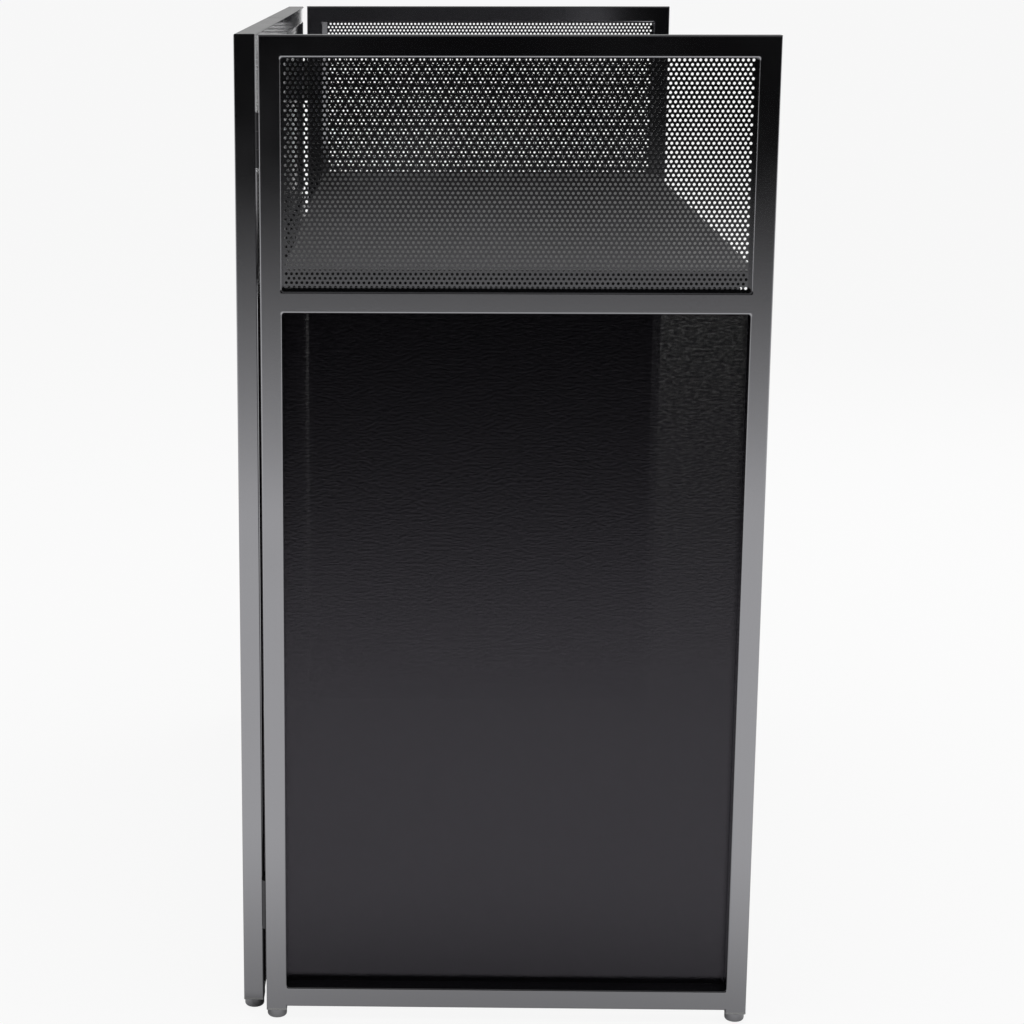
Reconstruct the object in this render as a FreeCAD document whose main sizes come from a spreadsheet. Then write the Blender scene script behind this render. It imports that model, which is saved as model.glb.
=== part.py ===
import FreeCAD, Part
import Sketcher
import os

# Folding four-panel booth: two front halves and two side wings of square steel tube,
# hinged together, with a lift-off table board between the wings.
# Millimetres, +Z up, front towards -Y, origin on the floor under the middle of the booth.

Vector = FreeCAD.Vector
Rotation = FreeCAD.Rotation
Placement = FreeCAD.Placement

UP = Vector(0, 0, 1)
ALONG_X = Vector(1, 0, 0)
ALONG_Y = Vector(0, 1, 0)

DIMENSIONS = [
    ("overall_width", 1290, "outer face of one wing to outer face of the other"),
    ("booth_height", 1195, "floor to the top of the frames"),
    ("wing_width", 590, "length of a side wing"),
    ("tube", 25, "square tube, outside"),
    ("tube_wall", 1.5, "square tube, wall"),
    ("tube_bevel", 1.2, "square tube, outside corners"),
    ("hinge_gap", 5, "gap between neighbouring panels"),
    ("mid_rail_drop", 291, "frame top to the top of the middle rail"),
    ("leg_stub", 2.5, "leg end below the bottom rail"),
    ("perforated_setback", 17, "outer frame face to the perforated sheet"),
    ("perforated_thickness", 1.5, "perforated sheet"),
    ("perforated_bar", 36, "perforated sheet, bar between two openings of its grid"),
    ("scrim_lap", 11, "scrim over the inner frame faces"),
    ("scrim_thickness", 0.8, "stretch scrim"),
    ("strip_width", 10, "hook-and-loop strip"),
    ("strip_thickness", 1.2, "hook-and-loop strip"),
    ("plug_flange", 2.5, "leg plug, visible collar"),
    ("plug_depth", 18, "leg plug, inside the tube"),
    ("plug_clearance", 0.1, "leg plug to the tube wall, each side"),
    ("foot_diameter", 24, "levelling foot pad"),
    ("foot_height", 11.5, "levelling foot pad"),
    ("stem_diameter", 10, "levelling foot stem"),
    ("stem_length", 50, "levelling foot stem above the pad"),
    ("stem_clearance", 0.1, "stem to its bore in the plug"),
    ("hinge_length", 63, "butt hinge leaf"),
    ("hinge_reach", 14, "hinge pin axis to the outer edge of a leaf"),
    ("leaf_thickness", 1.8, "hinge leaf"),
    ("knuckle_diameter", 7, "hinge knuckle"),
    ("knuckle_clearance", 0.4, "knuckle to the neighbouring leaf and knuckle"),
    ("pin_diameter", 3.4, "hinge pin"),
    ("pin_clearance", 0.08, "pin to its bore, on the radius"),
    ("upper_hinge_drop", 120, "frame top to the middle of the upper hinge"),
    ("lower_hinge_rise", 126, "leg end to the middle of the lower hinge"),
    ("board_thickness", 19, "table board"),
    ("board_bevel", 1.5, "table board, corners and top edge"),
    ("board_side_gap", 5, "table board to each wing"),
    ("board_front_gap", 30, "table board to the front panel, for cables"),
    ("board_rear_inset", 15, "table board short of the rear end of the wings"),
    ("bearer_thickness", 3, "steel angle under the board end"),
    ("bearer_flange", 50, "steel angle, flat flange"),
    ("bearer_leg", 25, "steel angle, turned-down leg"),
    ("bearer_lap", 5, "steel angle over the middle rail"),
    ("bearer_end_gap", 10, "steel angle to the wing stiles"),
]

KNUCKLES = 3
GRID_COLUMNS = 6
GRID_ROWS = 3

doc = FreeCAD.newDocument("folding_booth")
sheet = doc.addObject("Spreadsheet::Sheet", "Sheet")
for row, (alias, value, meaning) in enumerate(DIMENSIONS, start=1):
    sheet.set(f"A{row}", meaning)
    sheet.set(f"B{row}", str(value))
    sheet.setAlias(f"B{row}", alias)
doc.recompute()


def size(alias):
    return float(sheet.get(alias))


# Levels and lines that several pieces share
tube = size("tube")
gap = size("hinge_gap")
top = size("booth_height")
half_width = size("overall_width") / 2
leg_end = size("foot_height") + size("plug_flange")
bottom_rail_z = leg_end + size("leg_stub")
opening_bottom = bottom_rail_z + tube
mid_rail_top = top - size("mid_rail_drop")
board_z = mid_rail_top + size("bearer_thickness")
hinge_levels = (leg_end + size("lower_hinge_rise"), top - size("upper_hinge_drop"))

knuckle_reach = gap / 2 + size("knuckle_diameter") / 2
depth = knuckle_reach + tube + gap + size("wing_width")
front_y = knuckle_reach - depth / 2
wing_y = front_y + tube + gap

LEG = "Sheet.booth_height - Sheet.foot_height - Sheet.plug_flange"
FRONT_HALF = "(Sheet.overall_width - 2 * Sheet.tube - 3 * Sheet.hinge_gap) / 2"
OPENING = (
    "Sheet.booth_height - Sheet.mid_rail_drop - 2 * Sheet.tube"
    " - Sheet.foot_height - Sheet.plug_flange - Sheet.leg_stub"
)
BOARD_WIDTH = "Sheet.overall_width - 2 * Sheet.tube - 2 * Sheet.board_side_gap"
BOARD_DEPTH = "Sheet.wing_width + Sheet.hinge_gap - Sheet.board_front_gap - Sheet.board_rear_inset"

nodes = []


def node(thing, label):
    """Name a finished piece and list it for writing."""
    thing.Label = label
    nodes.append(thing)
    return thing


# Sketch and feature helpers
def new_body(name):
    return doc.addObject("PartDesign::Body", name)


def polygon(body, name, plane, corners):
    """A closed outline through corners given as pairs of sheet expressions."""
    sketch = body.newObject("Sketcher::SketchObject", name)
    origin_plane = next(f for f in body.Origin.OriginFeatures if f.Role == plane)
    sketch.AttachmentSupport = [(origin_plane, "")]
    sketch.MapMode = "FlatFace"
    points = [Vector(sheet_value(x), sheet_value(y), 0) for x, y in corners]
    count = len(points)
    for i in range(count):
        sketch.addGeometry(Part.LineSegment(points[i], points[(i + 1) % count]), False)
    for i in range(count):
        sketch.addConstraint(Sketcher.Constraint("Coincident", i, 2, (i + 1) % count, 1))
    for i, (x, y) in enumerate(corners):
        for kind, expression, value in (("DistanceX", x, points[i].x), ("DistanceY", y, points[i].y)):
            index = sketch.addConstraint(Sketcher.Constraint(kind, -1, 1, i, 1, value))
            sketch.setExpression(f"Constraints[{index}]", expression)
    return sketch


def sheet_value(expression):
    """The present value of a sheet expression, in millimetres."""
    return float(sheet.evalExpression(expression))


def square(body, name, plane, side):
    """A square outline of the given side about the origin."""
    half = f"({side}) / 2"
    less = f"-({side}) / 2"
    return polygon(body, name, plane, [(less, less), (half, less), (half, half), (less, half)])


def pad(body, name, sketch, length):
    feature = body.newObject("PartDesign::Pad", name)
    feature.Profile = sketch
    feature.setExpression("Length", length)
    doc.recompute()
    return feature


def pocket(body, name, sketch, length, both_ways=False, upwards=False):
    before = body.Shape.Volume
    feature = body.newObject("PartDesign::Pocket", name)
    feature.Profile = sketch
    feature.setExpression("Length", length)
    feature.Midplane = both_ways
    feature.Reversed = upwards
    doc.recompute()
    if body.Shape.Volume >= before:
        raise RuntimeError(f"{body.Name}.{name} cuts nothing")
    return feature


def bevel_edges(body, name, base, width, wanted):
    """Bevel the edges of the base feature that the wanted test picks."""
    edges = [f"Edge{i}" for i, edge in enumerate(base.Shape.Edges, start=1) if wanted(edge)]
    feature = body.newObject("PartDesign::Chamfer", name)
    feature.Base = (base, edges)
    feature.setExpression("Size", width)
    doc.recompute()
    return feature


def upright(edge):
    start, end = edge.Vertexes[0].Point, edge.Vertexes[-1].Point
    return abs(start.x - end.x) < 1e-6 and abs(start.y - end.y) < 1e-6


def block(name, corner, sizes):
    """A plain box with its sides bound to sheet expressions."""
    box = doc.addObject("Part::Box", name)
    for side, expression in zip(("Length", "Width", "Height"), sizes):
        box.setExpression(side, expression)
    box.Placement = Placement(corner, Rotation())
    return box


# Square tube, hollow, with mitred ends where the top corners meet.
# It runs along its own Z, and its own +X looks into the panel.
def tube_piece(label, length, start, inward, along, mitre_start=False, mitre_end=False):
    body = new_body(label)
    outline = square(body, f"{label}_outline", "XY_Plane", "Sheet.tube")
    bar = pad(body, f"{label}_bar", outline, length)
    bevel_edges(body, f"{label}_corners", bar, "Sheet.tube_bevel", upright)
    bore = square(body, f"{label}_bore_outline", "XY_Plane", "Sheet.tube - 2 * Sheet.tube_wall")
    pocket(body, f"{label}_bore", bore, length, upwards=True)
    outer, inner = "-Sheet.tube / 2", "Sheet.tube / 2"
    if mitre_start:
        corner = [(outer, "0"), (inner, "0"), (inner, "Sheet.tube")]
        cut = polygon(body, f"{label}_start_outline", "XZ_Plane", corner)
        pocket(body, f"{label}_start_mitre", cut, "2 * Sheet.tube", both_ways=True)
    if mitre_end:
        corner = [(outer, length), (inner, length), (inner, f"{length} - Sheet.tube")]
        cut = polygon(body, f"{label}_end_outline", "XZ_Plane", corner)
        pocket(body, f"{label}_end_mitre", cut, "2 * Sheet.tube", both_ways=True)
    body.Placement = Placement(start, Rotation(inward, along.cross(inward), along, "ZXY"))
    return node(body, label)


# Leg plug: a collar the size of the tube and a block inside it, bored for the foot's stem
def leg_plug(name, place):
    body = new_body(name)
    collar_outline = square(body, f"{name}_collar_outline", "XY_Plane", "Sheet.tube")
    collar = pad(body, f"{name}_collar", collar_outline, "Sheet.plug_flange")
    bevel_edges(body, f"{name}_corners", collar, "Sheet.tube_bevel", upright)
    inside = "Sheet.tube - 2 * Sheet.tube_wall - 2 * Sheet.plug_clearance"
    block_outline = square(body, f"{name}_block_outline", "XY_Plane", inside)
    pad(body, f"{name}_block", block_outline, "Sheet.plug_flange + Sheet.plug_depth")
    sketch = body.newObject("Sketcher::SketchObject", f"{name}_bore_outline")
    floor_plane = next(f for f in body.Origin.OriginFeatures if f.Role == "XY_Plane")
    sketch.AttachmentSupport = [(floor_plane, "")]
    sketch.MapMode = "FlatFace"
    radius = size("stem_diameter") / 2 + size("stem_clearance")
    sketch.addGeometry(Part.Circle(Vector(0, 0, 0), UP, radius), False)
    sketch.addConstraint(Sketcher.Constraint("Coincident", 0, 3, -1, 1))
    index = sketch.addConstraint(Sketcher.Constraint("Radius", 0, radius))
    sketch.setExpression(f"Constraints[{index}]", "Sheet.stem_diameter / 2 + Sheet.stem_clearance")
    pocket(body, f"{name}_bore", sketch, "Sheet.plug_flange + Sheet.plug_depth", upwards=True)
    body.Placement = Placement(place, Rotation())
    return body


# Levelling foot: a turned pad and the stem that screws into the plug
def levelling_foot(label, place):
    body = new_body(label)
    rim, stem = "Sheet.foot_diameter / 2", "Sheet.stem_diameter / 2"
    tip = "Sheet.foot_height + Sheet.stem_length"
    half_section = [("0", "0"), (rim, "0"), (rim, "Sheet.foot_height"), (stem, "Sheet.foot_height")]
    half_section += [(stem, tip), ("0", tip)]
    profile = polygon(body, f"{label}_profile", "XZ_Plane", half_section)
    turned = body.newObject("PartDesign::Revolution", f"{label}_turned")
    turned.Profile = profile
    turned.ReferenceAxis = (profile, ["V_Axis"])
    turned.Angle = 360
    body.Placement = Placement(place, Rotation())
    return node(body, label)


# Perforated sheet: a plate in its own XY plane with a plain grid of openings,
# which take about as much of it as the fine round holes of the real sheet do.
def perforated_plate(label, long, high, place):
    body = new_body(label)
    corners = [("0", "0"), (long, "0"), (long, high), ("0", high)]
    outline = polygon(body, f"{label}_outline", "XY_Plane", corners)
    pad(body, f"{label}_blank", outline, "Sheet.perforated_thickness")
    wide, tall = f"({long}) / {GRID_COLUMNS}", f"({high}) / {GRID_ROWS}"
    edge = "Sheet.perforated_bar / 2"
    right, upper = f"{wide} - {edge}", f"{tall} - {edge}"
    cell_corners = [(edge, edge), (right, edge), (right, upper), (edge, upper)]
    cell = polygon(body, f"{label}_cell", "XY_Plane", cell_corners)
    opening = pocket(body, f"{label}_opening", cell, "Sheet.perforated_thickness", upwards=True)
    grid = body.newObject("PartDesign::LinearPattern", f"{label}_grid")
    grid.Originals = [opening]
    grid.Direction, grid.Direction2 = (cell, ["H_Axis"]), (cell, ["V_Axis"])
    grid.Occurrences, grid.Occurrences2 = GRID_COLUMNS, GRID_ROWS
    grid.setExpression("Length", f"({long}) - {wide}")
    grid.setExpression("Length2", f"({high}) - {tall}")
    body.Tip = grid
    body.Placement = place
    return node(body, label)


# A panel: two stiles, three rails, perforated sheet above, scrim below, plugs and feet.
# along runs from the hinged end, inward from the outer face to the inner one.
def panel(name, width, origin, along, inward, first, second):
    width_now = sheet_value(width)

    def spot(u, w, z):
        return origin + along * u + inward * w + UP * z

    def slab(label, u, w, z, long, thick, high):
        """A box given by its first corner and its sheet expressions along the panel."""
        far = spot(u + sheet_value(long), w + sheet_value(thick), z)
        near = spot(u, w, z)
        corner = Vector(min(near.x, far.x), min(near.y, far.y), z)
        sides = (thick, long) if abs(along.y) > 0.5 else (long, thick)
        return block(label, corner, (*sides, high))

    centre = tube / 2
    down = UP * -1
    ends = ((first, centre, along), (second, width_now - centre, along * -1))
    for end, u, inside in ends:
        tube_piece(f"{name}_{end}_stile", LEG, spot(u, centre, leg_end), inside, UP, mitre_end=True)
        levelling_foot(f"{name}_{end}_foot", spot(u, centre, 0))
    plugs = doc.addObject("Part::Compound", f"{name}_plug_pair")
    plug_z = size("foot_height")
    plugs.Links = [leg_plug(f"{name}_{end}_plug", spot(u, centre, plug_z)) for end, u, inside in ends]
    node(plugs, f"{name}_leg_plugs")

    top_start = spot(0, centre, top - centre)
    tube_piece(f"{name}_top_rail", width, top_start, down, along, mitre_start=True, mitre_end=True)
    between = f"{width} - 2 * Sheet.tube"
    for rail, z in (("mid_rail", mid_rail_top - centre), ("bottom_rail", bottom_rail_z + centre)):
        tube_piece(f"{name}_{rail}", between, spot(tube, centre, z), down, along)

    facing = along.cross(UP)
    behind = 0 if facing.dot(inward) > 0 else size("perforated_thickness")
    plate_start = spot(tube, size("perforated_setback") + behind, mid_rail_top)
    plate_place = Placement(plate_start, Rotation(along, UP, facing, "ZXY"))
    plate_high = "Sheet.mid_rail_drop - Sheet.tube"
    perforated_plate(f"{name}_perforated_sheet", between, plate_high, plate_place)

    lap, strip = size("scrim_lap"), size("strip_width")
    edge_u, edge_z = tube - lap, opening_bottom - lap
    high = f"{OPENING} + 2 * Sheet.scrim_lap"
    long = f"{width} - 2 * Sheet.tube + 2 * Sheet.scrim_lap"
    inner_long = f"{long} - 2 * Sheet.strip_width"
    last_u = edge_u + sheet_value(long) - strip
    last_z = edge_z + sheet_value(high) - strip
    thick, wide = "Sheet.strip_thickness", "Sheet.strip_width"
    strips = doc.addObject("Part::Compound", f"{name}_strip_set")
    strips.Links = [
        slab(f"{name}_strip_first", edge_u, tube, edge_z, wide, thick, high),
        slab(f"{name}_strip_second", last_u, tube, edge_z, wide, thick, high),
        slab(f"{name}_strip_low", edge_u + strip, tube, edge_z, inner_long, thick, wide),
        slab(f"{name}_strip_high", edge_u + strip, tube, last_z, inner_long, thick, wide),
    ]
    node(strips, f"{name}_hook_strips")
    cloth_w = tube + size("strip_thickness")
    cloth = slab(f"{name}_cloth", edge_u, cloth_w, edge_z, long, "Sheet.scrim_thickness", high)
    node(cloth, f"{name}_scrim")


# Butt hinge leaf about its pin axis: a plate on the tube face and its share of the knuckles.
# The plate lies below the axis, at -Y, and reaches out to -X; the middle of its length is at z = 0.
def hinge_leaf(name, turns, place):
    plate_start = "Sheet.knuckle_diameter / 2 + Sheet.knuckle_clearance"
    face = -gap / 2
    length = size("hinge_length")
    plate = block(
        f"{name}_plate",
        Vector(-size("hinge_reach"), face, -length / 2),
        (f"Sheet.hinge_reach - ({plate_start})", "Sheet.leaf_thickness", "Sheet.hinge_length"),
    )
    share = f"(Sheet.hinge_length - {KNUCKLES - 1} * Sheet.knuckle_clearance) / {KNUCKLES}"
    pitch = sheet_value(share) + size("knuckle_clearance")
    pieces = [plate]
    for turn in turns:
        z = turn * pitch - length / 2
        barrel = doc.addObject("Part::Cylinder", f"{name}_knuckle")
        barrel.setExpression("Radius", "Sheet.knuckle_diameter / 2")
        barrel.setExpression("Height", share)
        barrel.Placement = Placement(Vector(0, 0, z), Rotation())
        corner = Vector(-sheet_value(plate_start), face, z)
        tongue = block(f"{name}_tongue", corner, (plate_start, "Sheet.leaf_thickness", share))
        pieces += [barrel, tongue]
    whole = doc.addObject("Part::MultiFuse", f"{name}_whole")
    whole.Shapes = pieces
    bore = doc.addObject("Part::Cylinder", f"{name}_bore")
    bore.setExpression("Radius", "Sheet.pin_diameter / 2 + Sheet.pin_clearance")
    bore.setExpression("Height", "2 * Sheet.hinge_length")
    bore.Placement = Placement(Vector(0, 0, -length), Rotation())
    leaf = doc.addObject("Part::Cut", name)
    leaf.Base = whole
    leaf.Tool = bore
    leaf.Placement = place
    return leaf


def hinge_pin(name, place):
    """A plain pin through all the knuckles, flush with them at both ends."""
    pin = doc.addObject("Part::Cylinder", name)
    pin.setExpression("Radius", "Sheet.pin_diameter / 2")
    pin.setExpression("Height", "Sheet.hinge_length")
    pin.Placement = Placement(place + UP * (-size("hinge_length") / 2), Rotation())
    return pin


def hinge_pair(seam, axis, leaves):
    """The lower and upper hinge of a seam: a node for each side's leaves and one for the pins."""
    for label, turns, turned in leaves:
        pair = doc.addObject("Part::Compound", f"{label}_pair")
        pair.Links = [
            hinge_leaf(f"{label}_{level}", turns, Placement(axis + UP * z, turned))
            for level, z in zip(("lower", "upper"), hinge_levels)
        ]
        node(pair, label)
    pins = doc.addObject("Part::Compound", f"{seam}_pin_pair")
    pins.Links = [
        hinge_pin(f"{seam}_{level}_pin", axis + UP * z) for level, z in zip(("lower", "upper"), hinge_levels)
    ]
    node(pins, f"{seam}_hinge_pins")


# Four panels
panel("wing_left", "Sheet.wing_width", Vector(-half_width, wing_y, 0), ALONG_Y, ALONG_X, "front", "rear")
panel("wing_right", "Sheet.wing_width", Vector(half_width, wing_y, 0), ALONG_Y, ALONG_X * -1, "front", "rear")
panel("front_left", FRONT_HALF, Vector(-gap / 2, front_y, 0), ALONG_X * -1, ALONG_Y, "centre", "outer")
panel("front_right", FRONT_HALF, Vector(gap / 2, front_y, 0), ALONG_X, ALONG_Y, "centre", "outer")

# Hinges: the corner pins stand diagonally between the tubes, the centre pin just before the front
flipped = Rotation(ALONG_Y, 180)
quarter = Rotation(UP, 90)
inner_faces = {"wing_left": quarter.inverted(), "wing_right": quarter * flipped}
outer_turns = range(0, KNUCKLES, 2)
inner_turns = range(1, KNUCKLES, 2)
corner_x = half_width - tube - gap / 2
corner_y = wing_y - gap / 2
hinge_pair(
    "left_corner",
    Vector(-corner_x, corner_y, 0),
    [
        ("left_corner_hinge_front_leaves", outer_turns, flipped),
        ("left_corner_hinge_wing_leaves", inner_turns, inner_faces["wing_left"]),
    ],
)
hinge_pair(
    "right_corner",
    Vector(corner_x, corner_y, 0),
    [
        ("right_corner_hinge_front_leaves", outer_turns, Rotation()),
        ("right_corner_hinge_wing_leaves", inner_turns, inner_faces["wing_right"]),
    ],
)
hinge_pair(
    "centre",
    Vector(0, front_y - gap / 2, 0),
    [
        ("centre_hinge_left_leaves", outer_turns, inner_faces["wing_left"]),
        ("centre_hinge_right_leaves", inner_turns, inner_faces["wing_right"]),
    ],
)

# Table board, bevelled at its corners and along its top edge
board_front = front_y + tube + size("board_front_gap")
board_rear = wing_y + size("wing_width") - size("board_rear_inset")
board = new_body("table_board")
half_board, half_depth = f"({BOARD_WIDTH}) / 2", f"({BOARD_DEPTH}) / 2"
less_board, less_depth = f"-({BOARD_WIDTH}) / 2", f"-({BOARD_DEPTH}) / 2"
board_corners = [
    (less_board, less_depth),
    (half_board, less_depth),
    (half_board, half_depth),
    (less_board, half_depth),
]
board_outline = polygon(board, "board_outline", "XY_Plane", board_corners)
slab_feature = pad(board, "board_slab", board_outline, "Sheet.board_thickness")
cornered = bevel_edges(board, "board_corners", slab_feature, "Sheet.board_bevel", upright)


def board_top(edge):
    return edge.BoundBox.ZMin > size("board_thickness") - 1e-6


bevel_edges(board, "board_top_edge", cornered, "Sheet.board_bevel", board_top)
board.Placement = Placement(Vector(0, (board_front + board_rear) / 2, board_z), Rotation())
node(board, "table_board")


# Steel angles screwed under the board's ends: the flat flange reaches over the middle rail
def bearer(label, side):
    body = new_body(label)
    flange, leg = "Sheet.bearer_flange", "Sheet.bearer_leg"
    thick = "Sheet.bearer_thickness"
    section = [("0", "0"), (thick, "0"), (thick, f"{leg} - {thick}"), (flange, f"{leg} - {thick}")]
    section += [(flange, leg), ("0", leg)]
    outline = polygon(body, f"{label}_section", "XY_Plane", section)
    pad(body, f"{label}_bar", outline, "Sheet.wing_width - 2 * Sheet.tube - 2 * Sheet.bearer_end_gap")
    inner_x = half_width - tube + size("bearer_lap") - size("bearer_flange")
    front_end = wing_y + tube + size("bearer_end_gap")
    rear_end = wing_y + size("wing_width") - tube - size("bearer_end_gap")
    start_y = rear_end if side > 0 else front_end
    turned = Rotation(ALONG_X * side, UP, ALONG_Y * -side, "ZXY")
    body.Placement = Placement(Vector(side * inner_x, start_y, board_z - size("bearer_leg")), turned)
    return node(body, label)


bearer("table_left_bearer", -1)
bearer("table_right_bearer", 1)

doc.recompute()

failed = [o.Name for o in doc.Objects if "Invalid" in o.State or "Error" in o.State]
if failed:
    raise RuntimeError(f"objects that failed: {failed}")
for piece in nodes:
    if piece.Shape.isNull() or not piece.Shape.isValid():
        raise RuntimeError(f"{piece.Label} has no valid shape")

os.makedirs("parts", exist_ok=True)
for piece in nodes:
    piece.Shape.exportStep(f"parts/{piece.Label}.step")
print(f"{len(nodes)} pieces written")
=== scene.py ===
import math

import bpy
import numpy as np
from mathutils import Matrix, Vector


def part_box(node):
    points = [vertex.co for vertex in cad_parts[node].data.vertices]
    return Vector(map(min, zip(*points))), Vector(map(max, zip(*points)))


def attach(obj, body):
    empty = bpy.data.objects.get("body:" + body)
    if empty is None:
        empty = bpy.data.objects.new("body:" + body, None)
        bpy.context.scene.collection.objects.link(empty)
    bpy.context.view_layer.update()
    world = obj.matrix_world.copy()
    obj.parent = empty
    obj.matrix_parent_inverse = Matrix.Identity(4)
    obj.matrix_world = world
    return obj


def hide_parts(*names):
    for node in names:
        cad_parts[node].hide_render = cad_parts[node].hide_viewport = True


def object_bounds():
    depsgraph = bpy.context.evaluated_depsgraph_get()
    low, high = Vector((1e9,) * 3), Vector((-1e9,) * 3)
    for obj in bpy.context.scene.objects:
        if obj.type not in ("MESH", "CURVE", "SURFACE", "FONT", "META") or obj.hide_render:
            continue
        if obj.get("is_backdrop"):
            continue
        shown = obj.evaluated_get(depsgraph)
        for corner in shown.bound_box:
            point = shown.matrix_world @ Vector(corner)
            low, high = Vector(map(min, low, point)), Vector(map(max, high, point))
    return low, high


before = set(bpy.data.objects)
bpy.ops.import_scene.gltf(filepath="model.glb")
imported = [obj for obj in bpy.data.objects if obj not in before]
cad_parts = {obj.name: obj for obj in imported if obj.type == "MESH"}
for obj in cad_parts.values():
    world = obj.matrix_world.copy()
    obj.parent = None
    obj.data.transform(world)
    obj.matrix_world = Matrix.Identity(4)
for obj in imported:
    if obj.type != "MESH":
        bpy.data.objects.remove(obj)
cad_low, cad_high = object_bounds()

# Frame tubes: each of the four panels is welded from five lengths of 25 mm square steel tube with
# small rounded corners. The stiles and the top rail are mitred together, the two lower rails are
# butted between the stiles, and the whole frame is powder coated in satin black.
PANELS = {
    "wing_left": ("front", "rear"),
    "wing_right": ("front", "rear"),
    "front_left": ("centre", "outer"),
    "front_right": ("centre", "outer"),
}
UP = np.array([0.0, 0.0, 1.0])
TUBE_WALL = 0.0015
TUBE_RADIUS = 0.002
TUBE_SMOOTH = 35
CORNER_STEPS = 7
FLAT_FROM = 0.0001
COAT_COLOUR = (0.0030, 0.0030, 0.0037, 1)
COAT_WORN = (0.0090, 0.0090, 0.0103, 1)
COAT_TINT = (0.94, 0.935, 1.0, 1)
COAT_ROUGH = 0.11
COAT_GLOSSIER = 0.03
COAT_DULLER = 0.04
COAT_IOR = 2.9
CLEAR_IOR = 1.9
PEEL_SCALE = 700.0
PEEL_DEPTH = 0.00008
PATCH_SCALE = 9.0
PATCH_SPAN = (0.35, 0.75)
PATCH_SHARE = 0.25
NOISE_SPAN = (0.3, 0.7)
BUMP_STRENGTH = 0.3


def grid_quads(rows, cols, wrap_rows=False, wrap_cols=False):
    """Quads of a rows by cols grid of points in row order. A wrapped side joins its last line to its
    first."""
    i, j = np.meshgrid(
        np.arange(rows if wrap_rows else rows - 1),
        np.arange(cols if wrap_cols else cols - 1),
        indexing="ij",
    )
    below, beside = (i + 1) % rows * cols, (j + 1) % cols
    return np.stack([i * cols + j, below + j, below + beside, i * cols + beside], -1).reshape(-1, 4)


def facing_out(points, faces):
    """Points and faces with the faces looking outwards: six times the volume is the sum of
    p0 . (p1 x p2) over the triangles, and where that is negative every face is turned."""
    volume = 0.0
    for group in faces:
        first = points[group[:, 0]]
        for k in range(1, group.shape[1] - 1):
            second, third = points[group[:, k]], points[group[:, k + 1]]
            volume += np.einsum("ij,ij->", first, np.cross(second, third))
    return points, faces if volume > 0 else [group[:, ::-1] for group in faces]


def new_piece(name, points, faces, body, slot, finish, smooth=None):
    """A closed mesh that rides on a body, shaded flat or smooth up to an angle between faces."""
    points, faces = facing_out(points, faces)
    sizes = np.concatenate([np.full(len(group), group.shape[1]) for group in faces])
    corners = np.concatenate([group.ravel() for group in faces])
    mesh = bpy.data.meshes.new(name)
    mesh.vertices.add(len(points))
    mesh.vertices.foreach_set("co", np.ascontiguousarray(points, np.float32).ravel())
    mesh.loops.add(len(corners))
    mesh.loops.foreach_set("vertex_index", corners.astype(np.int32))
    mesh.polygons.add(len(sizes))
    mesh.polygons.foreach_set("loop_start", (np.cumsum(sizes) - sizes).astype(np.int32))
    mesh.update(calc_edges=True)
    if smooth is None:
        mesh.shade_flat()
    else:
        mesh.shade_smooth()
        mesh.set_sharp_from_angle(angle=math.radians(smooth))
    mesh.materials.append(finish)
    piece = bpy.data.objects.new(name, mesh)
    bpy.context.scene.collection.objects.link(piece)
    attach(piece, body)
    return piece


def shader(tree, kind, inputs=(), **settings):
    """A shader node with its settings; each input is linked from a socket or set to a value."""
    made = tree.nodes.new(kind)
    for key, value in settings.items():
        setattr(made, key, value)
    for key, value in dict(inputs).items():
        if isinstance(value, bpy.types.NodeSocket):
            tree.links.new(value, made.inputs[key])
        else:
            made.inputs[key].default_value = value
    return made


def worked(tree, operation, *values):
    """One step of arithmetic on sockets or values."""
    return shader(tree, "ShaderNodeMath", enumerate(values), operation=operation).outputs[0]


def spread(tree, value, given, wanted, **settings):
    """A value carried from a given range on to a wanted one, and held at its ends."""
    inputs = {"Value": value, 1: given[0], 2: given[1], 3: wanted[0], 4: wanted[1]}
    return shader(tree, "ShaderNodeMapRange", inputs, **settings).outputs[0]


def noise(tree, where, scale, detail):
    """Soft random marks, near 0.5 on average."""
    inputs = {"Vector": where, "Scale": scale, "Detail": detail}
    return shader(tree, "ShaderNodeTexNoise", inputs).outputs[0]


def two_tone(tree, amount, colour, paler):
    """A colour that turns into a paler one as the amount goes from 0 to 1."""
    inputs = {0: amount, 6: colour, 7: paler}
    return shader(tree, "ShaderNodeMix", inputs, data_type="RGBA").outputs[2]


def bumped(tree, height, depth, strength):
    """A normal tilted by a height, which stands for the depth in metres."""
    inputs = {"Strength": strength, "Distance": depth, "Height": height}
    return shader(tree, "ShaderNodeBump", inputs).outputs[0]


def new_finish(name, constants):
    """A finish with the values that are the same all over it, and its node tree."""
    finish = bpy.data.materials.new(name)
    finish.use_nodes = True
    face = finish.node_tree.nodes["Principled BSDF"]
    for socket, value in constants.items():
        face.inputs[socket].default_value = value
    return finish, finish.node_tree


def dressed(finish, tone, gloss, relief):
    """The finish with its colour, gloss and relief led into it."""
    face = finish.node_tree.nodes["Principled BSDF"]
    for socket, source in (("Base Color", tone), ("Roughness", gloss), ("Normal", relief)):
        finish.node_tree.links.new(source, face.inputs[socket])
    return finish


def new_group(name, inputs, outputs):
    """An empty shader group with named sockets, and its two end nodes."""
    group = bpy.data.node_groups.new(name, "ShaderNodeTree")
    for socket, kind in inputs.items():
        group.interface.new_socket(socket, in_out="INPUT", socket_type=f"NodeSocket{kind}")
    for socket, kind in outputs.items():
        group.interface.new_socket(socket, in_out="OUTPUT", socket_type=f"NodeSocket{kind}")
    return group, group.nodes.new("NodeGroupInput"), group.nodes.new("NodeGroupOutput")


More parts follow.
